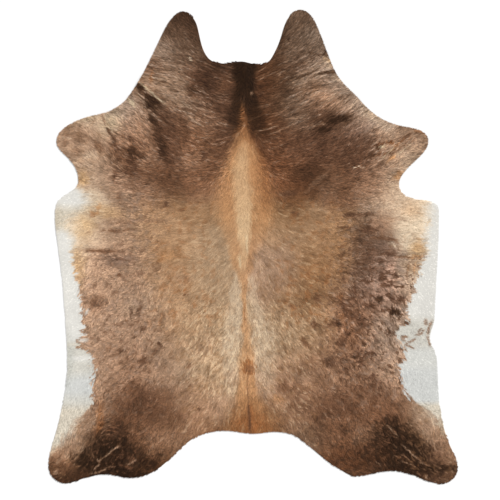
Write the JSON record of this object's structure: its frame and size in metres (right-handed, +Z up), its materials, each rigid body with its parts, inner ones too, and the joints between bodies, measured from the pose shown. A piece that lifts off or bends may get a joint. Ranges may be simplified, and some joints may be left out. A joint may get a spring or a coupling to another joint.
{
  "type": "cowhide rug",
  "caption": "Whole hair-on cowhide rug: a thin sheet cut along the hide's outline with neck prongs, forelegs, belly edges and shanks, laid flat with soft folds.",
  "frame": {"origin": "on the floor, under the middle of the hide's length and width", "axes": "+Y towards the neck, +X to the right as seen from above with the neck away from the viewer, +Z up out of the coat"},
  "size_m": [1.841, 2.133, 0.0149],
  "materials": {
    "coat": "short straight hair lying flat, satin sheen, brindled brown with a ginger spine stripe and white belly edges",
    "flesh_side": "matt suede underside of a tanned hide, pale, with a clean cut edge"
  },
  "bodies": {
    "root": {"hide": "coat"}
  },
  "joints": []
}
